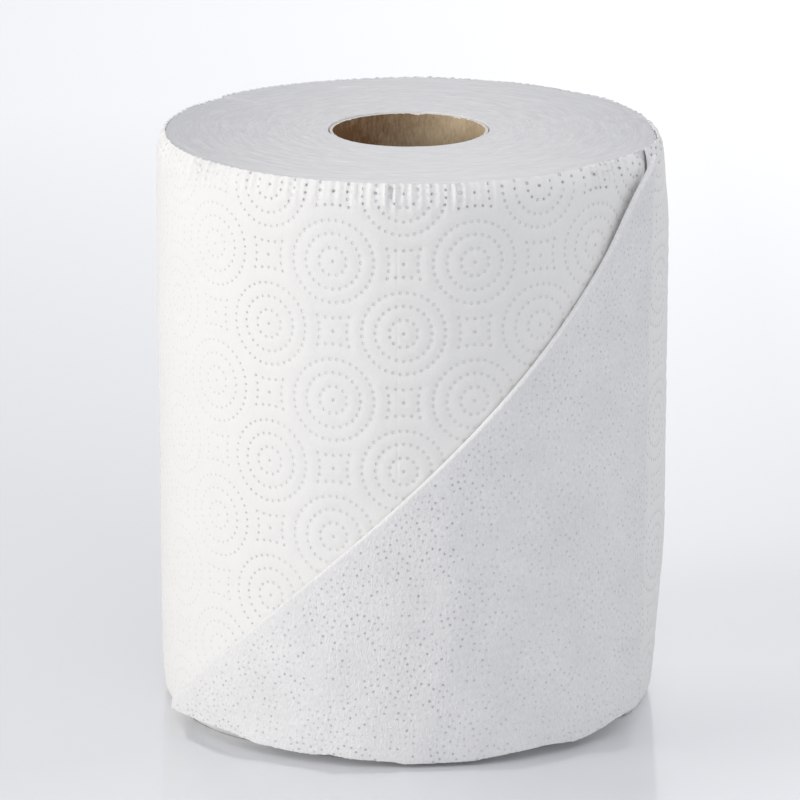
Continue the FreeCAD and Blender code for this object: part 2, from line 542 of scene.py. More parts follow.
def flat_web(table, triangles, cuts, scores):
    """Scores the flat mesh along lines and cuts it to shape; a line is a point and its outward way."""
    mesh = bpy.data.meshes.new("flat")
    mesh.from_pydata(table[:, :3].tolist(), [], triangles.tolist())
    for column, name in enumerate(WEB_LAYERS, 3):
        layer = mesh.attributes.new(name, "FLOAT", "POINT")
        layer.data.foreach_set("value", table[:, column].astype(np.float32))
    web = bmesh.new()
    web.from_mesh(mesh)
    bpy.data.meshes.remove(mesh)
    for number, (point, outward) in enumerate(scores + cuts):
        bmesh.ops.bisect_plane(
            web,
            geom=web.verts[:] + web.edges[:] + web.faces[:],
            dist=1e-4,
            plane_co=(*point, 0.0),
            plane_no=(*outward, 0.0),
            clear_outer=number >= len(scores),
        )
    bmesh.ops.triangulate(web, faces=web.faces[:])
    web.verts.index_update()
    layers = [web.verts.layers.float[name] for name in WEB_LAYERS]
    rows = np.array([(*vert.co, *(vert[layer] for layer in layers)) for vert in web.verts])
    faces = np.array([[vert.index for vert in face.verts] for face in web.faces])
    rims = []
    for edge in web.edges:
        if len(edge.link_loops) == 1:
            loop = edge.link_loops[0]
            rims.append((loop.vert.index, loop.link_loop_next.vert.index))
    web.free()
    return rows, faces, np.array(rims)


def unit(vectors):
    """The same ways at length 1."""
    return vectors / np.maximum(np.linalg.norm(vectors, axis=-1, keepdims=True), 1e-12)


def facing(surface, along, up):
    """Place, outward way and the two ways along the surface at each point."""
    step = 0.04
    middle = surface(along, up)
    way_along = surface(along + step, up) - surface(along - step, up)
    way_up = surface(along, up + step) - surface(along, up - step)
    return middle, unit(np.cross(way_along, way_up)), unit(way_along), unit(way_up)


def plain_back(rows, rims, cuts, back_points):
    """The flat back of a sheet inside the same rim: its points, its triangles and each rim point's number."""
    rim_verts = np.unique(rims)
    rim_number = {vert: number for number, vert in enumerate(rim_verts)}
    clear = [
        point
        for point in back_points
        if all((point[0] - x) * a + (point[1] - y) * b < -RIM_CLEAR for (x, y), (a, b) in cuts)
    ]
    flat = [Vector(rows[vert, :2]) for vert in rim_verts] + [Vector(point) for point in clear]
    borders = [(rim_number[a], rim_number[b]) for a, b in rims]
    made, _, back_faces, _, _, _ = delaunay_2d_cdt(flat, borders, [], 1, 1e-7)
    return np.array([point[:] for point in made]), back_faces, rim_number


def make_sheet(name, web, surface, face_offset, back_offset, cuts, back_points, strength):
    """A closed sheet: the embossed face, a plainer back and the thin edge between them."""
    rows, faces, rims = web
    along, up = rows[:, 0], rows[:, 1]
    share = strength(along, up)
    sink = rows[:, 2] * share
    lean = rows[:, 3:5] * share[:, None]
    middle, out, way_along, way_up = facing(surface, along, up)
    face_points = middle + out * (face_offset + sink)[:, None]
    face_normals = unit(out - lean[:, :1] * way_along - lean[:, 1:] * way_up)

    back_flat, back_faces, rim_number = plain_back(rows, rims, cuts, back_points)
    back_middle, back_out, _, _ = facing(surface, back_flat[:, 0], back_flat[:, 1])
    back_shift = len(rows)
    triangles = [tuple(face) for face in faces.tolist()]
    face_count = len(triangles)
    for a, b in rims:
        back_a, back_b = back_shift + rim_number[a], back_shift + rim_number[b]
        triangles += [(b, a, back_a), (b, back_a, back_b)]
    rim_count = len(triangles)
    triangles += [(back_shift + a, back_shift + c, back_shift + b) for a, b, c in back_faces]

    points = np.vstack([face_points, back_middle + back_out * back_offset])
    mesh = bpy.data.meshes.new(name)
    mesh.from_pydata((points * MM).tolist(), [], triangles)
    smooth = np.ones(len(triangles), dtype=bool)
    smooth[face_count:rim_count] = False
    mesh.polygons.foreach_set("use_smooth", smooth)
    corners = np.zeros(len(mesh.loops), dtype=np.int32)
    mesh.loops.foreach_get("vertex_index", corners)
    flat = np.vstack([rows[:, :2], back_flat])
    layer = mesh.uv_layers.new(name="web")
    layer.data.foreach_set("uv", (flat[corners] * WEB_UV_PER_MM).astype(np.float32).ravel())
    # The painted shade of the dots goes on the face only, weaker where the emboss is flatter.
    painted_dot_shade = np.concatenate([rows[:, 5] * share, np.zeros(len(back_flat))])
    layer = mesh.attributes.new("painted_dot_shade", "FLOAT", "POINT")
    layer.data.foreach_set("value", painted_dot_shade.astype(np.float32))
    normals = np.vstack([face_normals, -back_out])[corners]
    normals[3 * face_count:3 * rim_count] = 0.0
    mesh.normals_split_custom_set(normals.tolist())
    mesh.validate(clean_customdata=False)
    piece = bpy.data.objects.new(name, mesh)
    bpy.context.scene.collection.objects.link(piece)
    return piece


def even_points(low_along, high_along, low_up, high_up, step):
    """Points for the plain back of a sheet."""
    columns = np.arange(low_along, high_along, step)
    rows = np.arange(low_up, high_up, step)
    return [(x + (0.5 * step if number % 2 else 0.0), y) for number, y in enumerate(rows) for x in columns]


# Towels of the last turn

def under_fold(along, up, reach):
    """True where the folded end hides the wall for this far round a place."""
    across, _ = crease_distance(along - FOLD_BOW, up)
    return across > reach and along + reach < SEAM_FOOT - 4.0


circle = circle_dots()
square = square_dots()
circle_cell = make_cell(circle_outline(), circle, neighbours(square), DOT, BLANK_STEP)
square_cell = make_cell(square_outline(), square, neighbours(circle), DOT, BLANK_STEP)
plain_circle_cell = make_cell(circle_outline(), [], [], DOT, PLAIN_STEP)
plain_square_cell = make_cell(square_outline(), [], [], DOT, PLAIN_STEP)
top_row_up = EMBOSS_UP + 2 * EMBOSS_STEP_UP
rim_band = (RIM_BAND_LOW - top_row_up, ROLL_HEIGHT + 1.0 - top_row_up, RIM_BAND_STEP)
rim_circle_cell = make_cell(circle_outline(), circle, neighbours(square), DOT, BLANK_STEP, rim_band)
rim_square_cell = make_cell(square_outline(), square, neighbours(circle), DOT, BLANK_STEP, rim_band)


def wall_cell(is_square, along, up):
    """Plain paper where the folded end hides the wall, and a finer cell along the rim."""
    reach = SQUARE_CELL * 1.5 if is_square else EMBOSS_STEP_ALONG - SQUARE_CELL
    if under_fold(along, up, reach):
        return plain_square_cell if is_square else plain_circle_cell
    if up > top_row_up - 1.0:
        return rim_square_cell if is_square else rim_circle_cell
    return square_cell if is_square else circle_cell


def emboss_strength(along, up):
    """The emboss is flatter on the left-hand side, where the roll was squashed."""
    return 0.24 + 0.76 * ease(np.abs(along + 175.0), 78.0, 136.0)


def towel(name, left, right):
    """One towel of the last turn between two lines; a line is its place along at the foot and at the top."""
    lean_left = unit(np.array([-ROLL_HEIGHT, left[1] - left[0]]))
    lean_right = unit(np.array([ROLL_HEIGHT, right[0] - right[1]]))
    cuts = [
        ((left[0], 0.0), tuple(lean_left)),
        ((right[0], 0.0), tuple(lean_right)),
        ((0.0, 0.0), (0.0, -1.0)),
        ((0.0, ROLL_HEIGHT), (0.0, 1.0)),
    ]
    scores = [((0.0, rise), (0.0, -1.0)) for rise in (1.2, 2.6, 4.2)]
    for perforation in perforations:
        if min(left) - 1.0 < perforation < max(right) + 1.0:
            scores += [((perforation + off, 0.0), (1.0, 0.0)) for off in (-0.9, -0.35, 0.35, 0.9)]
    cells = lay_cells((EMBOSS_ALONG, EMBOSS_UP), min(left), max(right), 0.0, ROLL_HEIGHT, wall_cell)
    web = flat_web(*join_cells(*cells), cuts, scores)
    back = even_points(min(left), max(right), 2.0, ROLL_HEIGHT, BACK_STEP)
    return make_sheet(name, web, last_turn_surface, 0.0, -WEB_THICKNESS, cuts, back, emboss_strength)


seam = (SEAM_FOOT, SEAM_TOP)
far_seam = (SEAM_FOOT - TURN_LENGTH, SEAM_TOP - TURN_LENGTH)
front_line, left_line, back_line = [(place_along, place_along) for place_along in perforations]
towels = [
    towel("towel_front", front_line, seam),
    towel("towel_left", left_line, front_line),
    towel("towel_back", back_line, left_line),
    towel("towel_right", far_seam, back_line),
]


# Folded end

reverse_circle = reverse_circle_dots()
reverse_square = reverse_square_dots()
reverse_circle_cell = make_cell(
    circle_outline(), reverse_circle, neighbours(reverse_square), REVERSE_DOT, BLANK_STEP
)
reverse_square_cell = make_cell(
    square_outline(), reverse_square, neighbours(reverse_circle), REVERSE_DOT, BLANK_STEP
)


def reverse_cell(is_square, along, up):
    """The reverse emboss, and plain paper on the strip that lies under the fold."""
    across, _ = crease_distance(along, up)
    if across < -22.0:
        return plain_square_cell if is_square else plain_circle_cell
    return reverse_square_cell if is_square else reverse_circle_cell


def folded_end():
    """The loose end of the web, folded outwards over the crease, with a strip left under the fold."""
    free_way = np.array([FREE_EDGE_LEAN, FOLD_TIP_UP - FOLD_FOOT_UP])
    free_out = unit(np.array([free_way[1], -free_way[0]]))
    crease_out = -CREASE_SIDE
    underlap_place = CREASE_FOOT + UNDERLAP * crease_out
    cuts = [
        ((FOLD_TIP_ALONG, FOLD_TIP_UP), tuple(free_out)),
        ((0.0, FOLD_TIP_UP - 1.0), (0.0, 1.0)),
        ((0.0, FOLD_FOOT_UP), (0.0, -1.0)),
        ((FOLD_CORNER_ALONG, 0.0), (-1.0, 0.0)),
        (tuple(underlap_place), tuple(crease_out)),
    ]
    half = 0.5 * math.pi * FOLD_RADIUS
    rows = [-3.4, -2.4, -half, -0.66 * half, -0.33 * half, 0.0, 0.33 * half, 0.66 * half, half, 2.4, 3.4]
    scores = [(tuple(CREASE_FOOT + CREASE_SIDE * row), tuple(CREASE_SIDE)) for row in rows]
    scores += [((0.0, FOLD_FOOT_UP + rise), (0.0, -1.0)) for rise in (0.8, 2.0)]
    stretch = (FOLD_FOOT_ALONG, FOLD_TIP_ALONG, FOLD_FOOT_UP, FOLD_TIP_UP + 40.0)
    cells = lay_cells((REVERSE_ALONG, REVERSE_UP), *stretch, reverse_cell)
    web = flat_web(*join_cells(*cells), cuts, scores)
    back = [
        tuple(CREASE_FOOT + CREASE_SIDE * row + CREASE_WAY * climb)
        for row in rows
        for climb in np.arange(2.0, 340.0, 5.0)
    ]
    for x, y in even_points(*stretch, BACK_STEP):
        across, _ = crease_distance(np.array(x), np.array(y))
        if abs(across) > 6.0:
            back.append((x, y))

    def reverse_strength(along, up):
        """No emboss on the crease itself, and a flatter one on the right-hand side."""
        across, _ = crease_distance(along, up)
        return ease(np.abs(across), 1.9, 3.8) * (1.0 - 0.35 * ease(along, 10.0, 34.0))

    half_web = 0.5 * WEB_THICKNESS
    surface = folded_end_surface
    return make_sheet("folded_end", web, surface, half_web, -half_web, cuts, back, reverse_strength)


loose_end = folded_end()


# Wound turns and core

def make_ring(name, profile, segments, displace):
    """A closed ring swept round the axis from a profile of (radius, height) points."""
    angle = np.linspace(-math.pi, math.pi, segments, endpoint=False)[:, None]
    radius, height = np.tile(np.array(profile).T[:, None, :], (1, segments, 1))
    radius, height = displace(angle, radius, height)
    points = place(np.broadcast_to(angle, radius.shape), radius, height).reshape(-1, 3)
    across = len(profile)
    number = np.arange(segments * across).reshape(segments, across)
    next_turn = np.roll(number, -1, axis=0)
    corners = [number, next_turn, np.roll(next_turn, -1, axis=1), np.roll(number, -1, axis=1)]
    quads = np.stack(corners, axis=-1)
    mesh = bpy.data.meshes.new(name)
    mesh.from_pydata((points * MM).tolist(), [], quads.reshape(-1, 4).tolist())
    mesh.polygons.foreach_set("use_smooth", np.ones(len(mesh.polygons), dtype=bool))
    mesh.set_sharp_from_angle(angle=math.radians(50.0))
    piece = bpy.data.objects.new(name, mesh)
    bpy.context.scene.collection.objects.link(piece)
    return piece


def ring_noise(seed, rings, segments, falloff, mean):
    """Random heights that close round each ring: rougher with more falloff, uneven between rings by mean."""
    draw = np.random.default_rng(seed)
    waves = np.arange(segments // 2 + 1)
    strength = 1.0 / (1.0 + (waves / falloff) ** 2)
    strength[0] = mean
    spectrum = draw.normal(size=(rings, len(waves))) + 1j * draw.normal(size=(rings, len(waves)))
    heights = np.fft.irfft(spectrum * strength, n=segments, axis=1)
    return heights / heights.std()


def turn_relief():
    """Heights of the turns' edges on the top: long streaks round each ring."""
    rings = int((TOP_RIM_RADIUS - TOP_BORE) / TURN_STEP) + 1
    relief = ring_noise(21, rings, TURN_SEGMENTS, 14.0, 0.6)
    return 0.6 * relief + 0.2 * (np.roll(relief, 1, axis=0) + np.roll(relief, -1, axis=0))


def wound_turns():
    """The turns inside the last one, as one ring with the turns' uneven edges on its top."""
    relief = turn_relief()
    rings = len(relief)
    top_radii = np.linspace(TOP_BORE, TOP_RIM_RADIUS, rings)
    top = [(radius, TURNS_TOP) for radius in top_radii]
    wall = ROLL_RADIUS - WEB_THICKNESS - TURNS_GAP
    side = [
        (wall - float(end_inset(np.array(up))), up)
        for up in (229.0, 227.0, 224.0, 221.0, 160.0, 80.0, 12.0, 5.0, 2.5, 1.0)
    ]
    foot = [(wall - FOOT_INSET, TURNS_FOOT)]
    foot += [(radius, TURNS_FOOT) for radius in np.linspace(ROLL_RADIUS - 11.0, PAPER_BORE, 20)]
    bore = [(PAPER_BORE, up) for up in (40.0, 120.0, 190.0, 224.0)] + [(PAPER_BORE + 0.35, 229.2)]

    def displace(angle, radius, height):
        """Follows the last turn: fully on the side, and less and less towards the core on the top."""
        depth = np.ones(rings)
        depth[:2] = 0.3
        depth[-2:] = 0.5
        height[:, :rings] += 0.12 * (relief * depth[:, None]).T
        height[:, :rings] += rim_rise(angle) * (top_radii / TOP_RIM_RADIUS) ** 6
        share = (top_radii - TOP_BORE) / (TOP_RIM_RADIUS - TOP_BORE)
        tip = near_tip(angle, height)
        stand_off = (tip + slack(angle, height))[:, :rings]
        flute = rim_flute(angle, height)[:, :rings]
        radius[:, :rings] += stand_off * share ** 3 + flute * share ** 12
        uneven = WALL_WAVE * wall_unevenness(angle, height)
        swell = uneven + handled_shape(angle, height) + tip - foot_tuck(angle, height)
        outer = slice(rings, rings + len(side) + 1)
        radius[:, outer] += swell[:, outer] - 0.15
        return radius, height

    return make_ring("wound_turns", top + side + foot + bore, TURN_SEGMENTS, displace)


turns = wound_turns()


def core_tube():
    """The board tube, with the groove of its spiral strip inside and a ragged cut edge at the top."""
    low, high = CORE_RECESS, ROLL_HEIGHT - CORE_RECESS
    coarse = np.linspace(low, high - 30.0, 26)
    fine = np.arange(high - 29.0, high + 0.01, 1.0)
    inner = [(CORE_BORE, up) for up in np.concatenate([coarse, fine])]
    outer = [(CORE_OUTER, up) for up in np.linspace(high, low, 30)]
    middle = 0.5 * (CORE_BORE + CORE_OUTER)
    ragged = ring_noise(31, 1, CORE_SEGMENTS, 40.0, 0.0).T

    def displace(angle, radius, height):
        """The strip overlaps its next turn and leaves a groove there, and its cut lining is notched."""
        lag = np.mod(height - STRIP_CLIMB * angle / (2.0 * math.pi) + 18.0, STRIP_CLIMB) - 0.5 * STRIP_CLIMB
        groove = 0.16 * hump(lag, 0.0, 1.1)
        overlap = 0.08 * plateau(lag, 0.0, 1.0, 6.0, 18.0)
        inside = radius < CORE_BORE + 0.3
        radius = radius + np.where(inside, groove - overlap, 0.0)
        top = height > high - 0.5
        lining = top & (radius < CORE_BORE + 0.3)
        notch = (0.12 + 0.2 * hump(degrees_round(angle), 150.0, 70.0)) * np.maximum(ragged - 0.3, 0.0)
        height = height - np.where(top, 0.05 * np.abs(ragged), 0.0) - np.where(lining, notch, 0.0)
        return radius, height

    return make_ring("core_tube", inner + [(middle, high)] + outer + [(middle, low)], CORE_SEGMENTS, displace)


core = core_tube()


# Materials

# The colour sockets of a Mix node
MIX_SHARE, MIX_LOW, MIX_HIGH, MIX_RESULT = 0, 6, 7, 2


def add(nodes, kind, **values):
    """A new node with its own settings."""
    node = nodes.new(kind)
    for name, value in values.items():
        setattr(node, name, value)
    return node


def math_node(tree, operation, first, second=None, clamp=False):
    """A Math node; each input is a number or a socket."""
    node = add(tree.nodes, "ShaderNodeMath", operation=operation, use_clamp=clamp)
    for slot, value in zip(node.inputs, (first, second)):
        if value is None:
            continue
        if isinstance(value, (int, float)):
            slot.default_value = value
        else:
            tree.links.new(value, slot)
    return node.outputs[0]


def plus(tree, first, second, clamp=False):
    """The sum of two numbers or sockets."""
    return math_node(tree, "ADD", first, second, clamp)


def times(tree, first, second):
    """The product of two numbers or sockets."""
    return math_node(tree, "MULTIPLY", first, second)


def range_node(tree, value, low, high, to_low, to_high):
    """Follows a value from to_low at low to to_high at high."""
    node = add(tree.nodes, "ShaderNodeMapRange", clamp=True)
    tree.links.new(value, node.inputs["Value"])
    for name, number in (("From Min", low), ("From Max", high), ("To Min", to_low), ("To Max", to_high)):
        node.inputs[name].default_value = number
    return node.outputs["Result"]


def stretch_node(tree, vector, scale):
    """The same places, stretched by a scale for each way."""
    node = add(tree.nodes, "ShaderNodeMapping")
    tree.links.new(vector, node.inputs["Vector"])
    node.inputs["Scale"].default_value = scale
    return node.outputs["Vector"]


def noise_node(tree, vector, scale, detail=2.0, roughness=0.5, distortion=0.0):
    """A cloudy share over a vector of places."""
    node = add(tree.nodes, "ShaderNodeTexNoise")
    tree.links.new(vector, node.inputs["Vector"])
    node.inputs["Scale"].default_value = scale
    node.inputs["Detail"].default_value = detail
    node.inputs["Roughness"].default_value = roughness
    node.inputs["Distortion"].default_value = distortion
    return node.outputs["Fac"]


def tint_node(tree, share, low, high):
    """Between two colours by a share."""
    node = add(tree.nodes, "ShaderNodeMix", data_type="RGBA")
    tree.links.new(share, node.inputs[MIX_SHARE])
    for slot, value in ((MIX_LOW, low), (MIX_HIGH, high)):
        if isinstance(value, tuple):
            node.inputs[slot].default_value = (*value, 1.0)
        else:
            tree.links.new(value, node.inputs[slot])
    return node.outputs[MIX_RESULT]


def group_tree(name, inputs, outputs):
    """An empty node group with its inputs and outputs."""
    tree = bpy.data.node_groups.new(name, "ShaderNodeTree")
    for label, kind, value in inputs:
        socket = tree.interface.new_socket(label, in_out="INPUT", socket_type=kind)
        if value is not None:
            socket.default_value = value
    for label, kind in outputs:
        tree.interface.new_socket(label, in_out="OUTPUT", socket_type=kind)
    return tree, tree.nodes.new("NodeGroupInput"), tree.nodes.new("NodeGroupOutput")


def creped_tissue_group():
    """Fine creping and loose fibres of soft tissue: a height and a share of shade."""
    tree, given, result = group_tree(
        "creped_tissue",
        [
            ("Place", "NodeSocketVector", None),
            ("Crepe", "NodeSocketFloat", 1.0),
            ("Fibre", "NodeSocketFloat", 1.0),
        ],
        [("Height", "NodeSocketFloat"), ("Shade", "NodeSocketFloat")],
    )
    place_socket = given.outputs["Place"]
    crepe = noise_node(tree, stretch_node(tree, place_socket, (190.0, 46.0, 60.0)), 1.0, 3.0, 0.62, 0.35)
    fibre = noise_node(tree, stretch_node(tree, place_socket, (118.0, 44.0, 30.0)), 1.0, 3.0, 0.65, 0.8)
    fluff = noise_node(tree, place_socket, 260.0, 2.0, 0.6)
    crepe_part = times(tree, crepe, given.outputs["Crepe"])
    fibre_part = times(tree, fibre, given.outputs["Fibre"])
    both = plus(tree, crepe_part, fibre_part)
    fluff_part = times(tree, fluff, 0.35)
    tree.links.new(plus(tree, both, fluff_part), result.inputs["Height"])
    mean = times(tree, plus(tree, crepe, fibre), 0.5)
    tree.links.new(range_node(tree, mean, 0.38, 0.62, 0.0, 1.0), result.inputs["Shade"])
    return tree


def handling_group():
    """Broad, faint unevenness of tone, as from handling and packing."""
    tree, given, result = group_tree(
        "handling",
        [("Place", "NodeSocketVector", None), ("Size", "NodeSocketFloat", 1.0)],
        [("Share", "NodeSocketFloat")],
    )
    cloud = add(tree.nodes, "ShaderNodeTexNoise")
    tree.links.new(given.outputs["Place"], cloud.inputs["Vector"])
    tree.links.new(given.outputs["Size"], cloud.inputs["Scale"])
    cloud.inputs["Detail"].default_value = 3.0
    tree.links.new(range_node(tree, cloud.outputs["Fac"], 0.3, 0.7, 0.0, 1.0), result.inputs["Share"])
    return tree


creped_tissue = creped_tissue_group()
handling = handling_group()


def new_material(name):
    """A new material, its node tree and its Principled shader."""
    material = bpy.data.materials.new(name)
    material.use_nodes = True
    shader = material.node_tree.nodes["Principled BSDF"]
    return material, material.node_tree, shader


def place_group(tree, group, vector, **values):
    """A node group placed in a material, with its own values."""
    node = add(tree.nodes, "ShaderNodeGroup", node_tree=group)
    tree.links.new(vector, node.inputs["Place"])
    for name, value in values.items():
        node.inputs[name].default_value = value
    return node


def bump(tree, height, shader, strength, distance):
    """Fine relief on a shader from a height; the distance is in metres."""
    node = add(tree.nodes, "ShaderNodeBump")
    node.inputs["Strength"].default_value = strength
    node.inputs["Distance"].default_value = distance
    tree.links.new(height, node.inputs["Height"])
    tree.links.new(node.outputs["Normal"], shader.inputs["Normal"])


def tissue_material(name, low, high, painted_dot_shade_tone, crepe, fibre, bump_distance):
    """Soft matte tissue over the flat web's own places, darker with painted shade in the hollows of the sunk
    dots.
    """
    material, tree, shader = new_material(name)
    web_place = add(tree.nodes, "ShaderNodeUVMap", uv_map="web").outputs["UV"]
    grain = place_group(tree, creped_tissue, web_place, Crepe=crepe, Fibre=fibre)
    tone = place_group(tree, handling, web_place, Size=4.0)
    share = times(tree, grain.outputs["Shade"], 0.65)
    share = plus(tree, share, times(tree, tone.outputs["Share"], 0.35), clamp=True)
    paper = tint_node(tree, share, low, high)
    # Painted shade in the hollows of the dots: the paper's colour goes towards a dark tone there.
    painted_dot_shade = add(tree.nodes, "ShaderNodeAttribute", attribute_name="painted_dot_shade").outputs["Fac"]
    tree.links.new(tint_node(tree, painted_dot_shade, paper, painted_dot_shade_tone), shader.inputs["Base Color"])
    roughness = range_node(tree, grain.outputs["Shade"], 0.0, 1.0, 0.85, 0.98)
    tree.links.new(roughness, shader.inputs["Roughness"])
    shader.inputs["Specular IOR Level"].default_value = 0.25
    shader.inputs["Sheen Weight"].default_value = 0.06
    shader.inputs["Sheen Roughness"].default_value = 0.6
    bump(tree, grain.outputs["Height"], shader, 0.5, bump_distance)
    return material


wall_tissue = tissue_material(
    "wall_tissue",
    low=(0.84, 0.837, 0.82),
    high=(0.885, 0.882, 0.862),
    # painted shade in the hollows of the dots
    painted_dot_shade_tone=(0.17, 0.195, 0.24),
    crepe=0.5,
    fibre=0.5,
    bump_distance=0.0002,
)
reverse_tissue = tissue_material(
    "reverse_tissue",
    low=(0.80, 0.80, 0.80),
    high=(0.955, 0.953, 0.95),
    # painted shade in the hollows of the dots
    painted_dot_shade_tone=(0.42, 0.44, 0.48),
    crepe=0.7,
    fibre=1.4,
    bump_distance=0.0011,
)

EDGE_SHADED = (0.645, 0.647, 0.652)
EDGE_PALE = (0.855, 0.854, 0.851)
BOARD_DARK = (0.20, 0.105, 0.045)
BOARD_LIGHT = (0.66, 0.535, 0.36)
CUT_DARK = (0.66, 0.60, 0.52)
CUT_PALE = (0.84, 0.82, 0.78)


def ends_material():
    """The edges of the wound turns on the top: fine streaks round the roll, over broad painted light and
    shade, lighter towards the front right and along the middle, darker at the left and right.
    """
    material, tree, shader = new_material("turn_edges")
    spot = add(tree.nodes, "ShaderNodeTexCoord").outputs["Object"]
    parts = add(tree.nodes, "ShaderNodeSeparateXYZ")
    tree.links.new(spot, parts.inputs[0])
    x, y = parts.outputs["X"], parts.outputs["Y"]
    radius = math_node(tree, "SQRT", plus(tree, times(tree, x, x), times(tree, y, y)))

    def streaks(round_scale, ring_scale, detail, distortion):
        """Noise drawn out round the roll: the scales are round it and across the rings."""
        way = add(tree.nodes, "ShaderNodeCombineXYZ")
        for name, part in (("X", x), ("Y", y)):
            share = math_node(tree, "DIVIDE", part, radius)
            tree.links.new(times(tree, share, round_scale), way.inputs[name])
        tree.links.new(times(tree, radius, ring_scale), way.inputs["Z"])
        return noise_node(tree, way.outputs[0], 1.0, detail, 0.6, distortion)

    fine = streaks(9.0, 1500.0, 2.0, 0.1)
    broad = streaks(5.0, 330.0, 3.0, 0.4)
    both = plus(tree, times(tree, fine, 0.6), times(tree, broad, 0.4))
    share = range_node(tree, both, 0.34, 0.66, 0.0, 0.55)
    # Painted light: the top is lighter towards the front right.
    painted_light_front_right = math_node(tree, "SUBTRACT", times(tree, x, 0.5), times(tree, y, 0.75))
    share = plus(tree, share, range_node(tree, painted_light_front_right, -0.08, 0.08, 0.0, 0.45))
    # Painted light and shade: lighter along the middle from front to back, darker towards the left and right.
    middle = range_node(tree, times(tree, x, x), 0.0, 0.008, 0.22, -0.35)
    share = plus(tree, share, middle, clamp=True)
    tree.links.new(tint_node(tree, share, EDGE_SHADED, EDGE_PALE), shader.inputs["Base Color"])
    tree.links.new(range_node(tree, both, 0.3, 0.7, 0.98, 0.9), shader.inputs["Roughness"])
    shader.inputs["Specular IOR Level"].default_value = 0.2
    bump(tree, both, shader, 0.6, 0.0006)
    return material


def board_material():
    """Grey-brown chipboard of the core, with fibre specks and darker patches, and painted light that makes it
    darker on the left and lighter on the right.
    """
    material, tree, shader = new_material("core_board")
    spot = add(tree.nodes, "ShaderNodeTexCoord").outputs["Object"]
    fibres = noise_node(tree, stretch_node(tree, spot, (1.0, 1.0, 0.35)), 900.0, 4.0, 0.65, 0.4)
    tone = place_group(tree, handling, spot, Size=45.0)
    share = plus(tree, times(tree, fibres, 0.6), times(tree, tone.outputs["Share"], 0.4))
    share = range_node(tree, share, 0.3, 0.72, 0.0, 0.7)
    parts = add(tree.nodes, "ShaderNodeSeparateXYZ")
    tree.links.new(spot, parts.inputs[0])
    # Painted light: the board is darker on the left and lighter on the right.
    painted_light_right = range_node(tree, parts.outputs["X"], -0.024, 0.024, -0.35, 0.5)
    share = plus(tree, share, painted_light_right, clamp=True)
    tree.links.new(tint_node(tree, share, BOARD_DARK, BOARD_LIGHT), shader.inputs["Base Color"])
    tree.links.new(range_node(tree, fibres, 0.3, 0.7, 0.7, 0.95), shader.inputs["Roughness"])
    shader.inputs["Specular IOR Level"].default_value = 0.3
    bump(tree, fibres, shader, 0.5, 0.0003)
    return material


def cut_board_material():
    """The core's cut end: pale board with darker specks."""
    material, tree, shader = new_material("cut_board")
    spot = add(tree.nodes, "ShaderNodeTexCoord").outputs["Object"]
    specks = noise_node(tree, spot, 1400.0, 3.0, 0.6)
    share = range_node(tree, specks, 0.35, 0.6, 0.0, 1.0)
    tree.links.new(tint_node(tree, share, CUT_DARK, CUT_PALE), shader.inputs["Base Color"])
    shader.inputs["Roughness"].default_value = 0.9
    bump(tree, specks, shader, 0.4, 0.0002)
    return material


turn_edges = ends_material()
core_board = board_material()
cut_board = cut_board_material()

for piece in towels:
    piece.data.materials.append(wall_tissue)
loose_end.data.materials.append(reverse_tissue)
turns.data.materials.append(turn_edges)
core.data.materials.append(core_board)
core.data.materials.append(cut_board)
cut_number = core.data.materials.find(cut_board.name)
for face in core.data.polygons:
    if abs(face.normal.z) > 0.5:
        face.material_index = cut_number


# Floor, light and camera

FLOOR_NEAR = (0.72, 0.735, 0.76)
FLOOR_FAR = (0.80, 0.81, 0.83)
FLOOR_GLOW = (0.975, 0.985, 1.0, 1.0)
WORLD_LIGHT = (0.956, 0.963, 1.0, 1.0)
WORLD_SEEN = (0.975, 0.98, 1.0, 1.0)
DIM_WAY = (-0.633, 0.754, 0.174)
WINDOW_SPOT = (-1.5, -0.52, 0.52)
WINDOW_SIZE = (0.6, 0.7)
WINDOW_POWER = 9.9
WINDOW_LIGHT = (1.0, 0.957, 0.905)
ROLL_MIDDLE = (0.0, 0.0, 0.13)
CAMERA_SPOT = (0.0, -2.0480, 0.6876)
CAMERA_DIP = 15.616
CAMERA_LENS = 240.26
CAMERA_SHIFT = (-0.0111, 0.01195)


def seen_directly(tree):
    """1 for what is looked at, also by reflection, and 0 for the light that falls on things."""
    path = add(tree.nodes, "ShaderNodeLightPath")
    share = math_node(tree, "MAXIMUM", path.outputs["Is Camera Ray"], path.outputs["Is Glossy Ray"])
    return math_node(tree, "MAXIMUM", share, path.outputs["Is Transmission Ray"])


def floor_glow(tree, spot, away):
    """How much the floor pales in view: more with distance and less at the left, with painted light beside
    the roll on the right and painted shadow in its shade at the front right.
    """
    parts = add(tree.nodes, "ShaderNodeSeparateXYZ")
    tree.links.new(spot, parts.inputs[0])
    x, y = parts.outputs["X"], parts.outputs["Y"]
    level = range_node(tree, away, 0.2, 1.1, 0.085, 0.225)
    level = plus(tree, level, range_node(tree, x, -0.3, 0.25, -0.14, 0.02))
    level = plus(tree, level, range_node(tree, y, -0.2, -0.08, 0.065, 0.0))
    # Painted light on the floor beside the roll on the right, where its shadow falls.
    painted_light_beside = range_node(tree, x, 0.11, 0.18, 0.05, 0.0)
    painted_light_beside = times(tree, painted_light_beside, range_node(tree, x, 0.06, 0.1, 0.0, 1.0))
    painted_light_beside = times(tree, painted_light_beside, range_node(tree, y, -0.14, 0.0, 0.0, 1.0))
    # Painted shadow: less glow in the roll's shade, near it in front of its right-hand side.
    shade = range_node(tree, x, 0.0, 0.09, 0.0, 0.1)
    shade = times(tree, shade, range_node(tree, away, 0.13, 0.26, 1.0, 0.0))
    shade = times(tree, shade, range_node(tree, y, -0.09, 0.03, 1.0, 0.0))
    level = math_node(tree, "SUBTRACT", plus(tree, level, painted_light_beside), shade)
    return math_node(tree, "MAXIMUM", level, 0.0)


